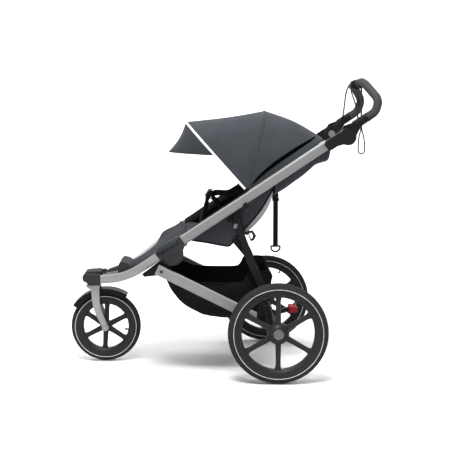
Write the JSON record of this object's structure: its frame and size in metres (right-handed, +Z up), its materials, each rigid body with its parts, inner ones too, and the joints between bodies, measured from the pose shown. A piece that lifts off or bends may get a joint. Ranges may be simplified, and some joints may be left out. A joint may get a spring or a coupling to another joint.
{
  "type": "jogging stroller",
  "caption": "Folding jogging stroller with a sling seat, canopy, basket, swivelling front wheel, spring-mounted rear wheels and a tilting push bar.",
  "frame": {"origin": "on the ground, under the middle of the overall length and width", "axes": "+Z up, -X the way the stroller rolls forward, +Y its right side"},
  "size_m": [1.2926, 0.69, 1.2132],
  "materials": {
    "silver_tube": "brushed anodised",
    "dark_casting": "satin",
    "black_plastic": "satin",
    "steel": "satin",
    "tyre_rubber": "matte",
    "wheel_black": "satin",
    "cap_silver": "satin",
    "canopy_cloth": "woven",
    "seat_cloth": "woven",
    "black_cloth": "woven",
    "mesh_cloth": "mesh",
    "foam": "foam",
    "red_pad": "matte",
    "shock_rubber": "satin",
    "grey_button": "satin",
    "webbing": "webbing",
    "cable": "satin"
  },
  "bodies": {
    "upper_frame": {"upper_tubes": "silver_tube", "upper_knuckles": "dark_casting", "main_hinge_pins": "steel", "tube_sockets": "black_plastic", "seat_cross_tube": "silver_tube", "seat_base": "seat_cloth", "seat_sides": "seat_cloth", "harness_straps": "webbing", "buckle": "black_plastic", "rear_panel": "seat_cloth", "tube_studs": "black_plastic"},
    "backrest": {"backrest": "black_cloth", "back_mesh": "mesh_cloth"},
    "recline_pull": {"recline_strap": "webbing", "d_ring": "black_plastic"},
    "canopy_middle": {"canopy_middle_bow": "black_plastic", "canopy_rear_panel": "canopy_cloth"},
    "canopy_front": {"canopy_front_bow": "black_plastic", "canopy_front_panel": "canopy_cloth", "visor": "canopy_cloth"},
    "handlebar": {"handlebar_tube": "black_plastic", "handlebar_grips": "foam", "brake_unit": "black_plastic", "brake_cable_left": "cable", "brake_cable_right": "cable", "wrist_strap": "webbing", "wrist_cord": "webbing"},
    "brake_twist": {"brake_twist_grips": "foam"},
    "hub_button_left": {"hub_button_left": "grey_button"},
    "hub_button_right": {"hub_button_right": "grey_button"},
    "buckle_button": {"buckle_button": "grey_button"},
    "front_frame": {"front_tubes": "silver_tube", "front_knuckles": "dark_casting", "steering_head": "dark_casting", "footrest": "dark_casting", "leg_rest": "seat_cloth"},
    "swivel_lock": {"swivel_lock": "black_plastic"},
    "fork": {"fork_crown": "dark_casting", "fork_blades": "silver_tube", "front_fender": "black_plastic", "front_axle": "steel"},
    "front_wheel": {"front_tyre": "tyre_rubber", "front_rim": "wheel_black"},
    "lower_frame": {"lower_tubes": "silver_tube", "lower_pivot_pins": "steel", "rear_knuckles": "black_plastic", "basket": "black_cloth", "shock_units": "shock_rubber"},
    "struts": {"rear_struts": "black_plastic", "strut_catch": "black_plastic"},
    "axle_carrier": {"swing_arms": "black_plastic", "rear_axle": "steel"},
    "brake_pedal": {"brake_pedal": "black_plastic", "pedal_pad": "red_pad"},
    "rear_wheel_left": {"rear_tyre_left": "tyre_rubber", "rear_rim_left": "wheel_black"},
    "rear_wheel_right": {"rear_tyre_right": "tyre_rubber", "rear_rim_right": "wheel_black"},
    "wheel_release_left": {"wheel_cap_left": "cap_silver"},
    "wheel_release_right": {"wheel_cap_right": "cap_silver"}
  },
  "joints": [
    {"name": "main_fold", "type": "hinge", "parent": "upper_frame", "child": "front_frame", "pos_m": [-0.1995, 0, 0.4976], "axis": [0, -1, 0], "range_deg": [0, 105], "deforming": ["leg_rest", "basket"]},
    {"name": "lower_fold", "type": "hinge", "parent": "front_frame", "child": "lower_frame", "pos_m": [-0.247, 0, 0.43], "axis": [0, -1, 0], "range_deg": [-63.5, 0]},
    {"name": "strut_fold", "type": "hinge", "parent": "lower_frame", "child": "struts", "pos_m": [0.17, 0, 0.326], "axis": [0, -1, 0], "range_deg": [0, 42.5]},
    {"name": "suspension", "type": "hinge", "parent": "lower_frame", "child": "axle_carrier", "pos_m": [0.15, 0, 0.233], "axis": [0, -1, 0], "range_deg": [0, 8], "stiffness_Nm_per_rad": 180, "springref_deg": -8.59, "deforming": ["shock_units"]},
    {"name": "brake_pedal_press", "type": "hinge", "parent": "axle_carrier", "child": "brake_pedal", "pos_m": [0.2175, 0, 0.2], "axis": [0, 1, 0], "range_deg": [0, 20]},
    {"name": "rear_wheel_left_spin", "type": "hinge", "parent": "axle_carrier", "child": "rear_wheel_left", "pos_m": [0.2175, -0.32, 0.2], "axis": [0, 1, 0], "continuous": true},
    {"name": "rear_wheel_right_spin", "type": "hinge", "parent": "axle_carrier", "child": "rear_wheel_right", "pos_m": [0.2175, 0.32, 0.2], "axis": [0, 1, 0], "continuous": true},
    {"name": "wheel_release_left_press", "type": "slide", "parent": "rear_wheel_left", "child": "wheel_release_left", "axis": [0, 1, 0], "range_m": [0, 0.003], "stiffness_N_per_m": 800, "springref_m": -0.003},
    {"name": "wheel_release_right_press", "type": "slide", "parent": "rear_wheel_right", "child": "wheel_release_right", "axis": [0, -1, 0], "range_m": [0, 0.003], "stiffness_N_per_m": 800, "springref_m": -0.003},
    {"name": "fork_swivel", "type": "hinge", "parent": "front_frame", "child": "fork", "pos_m": [-0.538, 0, 0.3], "axis": [0, 0, 1], "continuous": true},
    {"name": "front_wheel_spin", "type": "hinge", "parent": "fork", "child": "front_wheel", "pos_m": [-0.4956, 0, 0.15], "axis": [0, 1, 0], "continuous": true},
    {"name": "swivel_lock_turn", "type": "hinge", "parent": "front_frame", "child": "swivel_lock", "pos_m": [-0.501, 0, 0.388], "axis": [0, 1, 0], "range_deg": [0, 90]},
    {"name": "handlebar_tilt", "type": "hinge", "parent": "upper_frame", "child": "handlebar", "pos_m": [0.5024, 0, 0.973], "axis": [0, 1, 0], "range_deg": [0, 110], "deforming": ["wrist_strap", "wrist_cord"]},
    {"name": "brake_twist", "type": "hinge", "parent": "handlebar", "child": "brake_twist", "pos_m": [0.585, 0, 1.193], "axis": [0, 1, 0], "range_deg": [0, 35], "stiffness_Nm_per_rad": 0.6, "springref_deg": -5.73},
    {"name": "hub_button_left_press", "type": "slide", "parent": "handlebar", "child": "hub_button_left", "axis": [0, -1, 0], "range_m": [0, 0.004], "stiffness_N_per_m": 600, "springref_m": -0.003},
    {"name": "hub_button_right_press", "type": "slide", "parent": "handlebar", "child": "hub_button_right", "axis": [0, 1, 0], "range_m": [0, 0.004], "stiffness_N_per_m": 600, "springref_m": -0.003},
    {"name": "canopy_middle_fold", "type": "hinge", "parent": "upper_frame", "child": "canopy_middle", "pos_m": [0.099, 0, 0.752], "axis": [0, 1, 0], "range_deg": [0, 32], "deforming": ["canopy_rear_panel", "canopy_front_panel"]},
    {"name": "canopy_front_fold", "type": "hinge", "parent": "canopy_middle", "child": "canopy_front", "pos_m": [0.099, 0, 0.752], "axis": [0, 1, 0], "range_deg": [0, 45]},
    {"name": "backrest_recline", "type": "hinge", "parent": "upper_frame", "child": "backrest", "pos_m": [0.058, 0, 0.566], "axis": [0, 1, 0], "range_deg": [0, 20], "deforming": ["rear_panel", "harness_straps"]},
    {"name": "recline_pull_swing", "type": "hinge", "parent": "backrest", "child": "recline_pull", "pos_m": [0.229, 0, 0.715], "axis": [0, 1, 0], "range_deg": [-30, 4]},
    {"name": "buckle_button_press", "type": "slide", "parent": "upper_frame", "child": "buckle_button", "axis": [1, 0, 0], "range_m": [0, 0.004], "stiffness_N_per_m": 400, "springref_m": -0.003}
  ],
  "couplings": [
    {"joint": "lower_fold", "follows": "main_fold", "ratio": -0.6},
    {"joint": "strut_fold", "follows": "main_fold", "ratio": 0.4},
    {"joint": "canopy_front_fold", "follows": "canopy_middle_fold", "ratio": 1.4062}
  ]
}
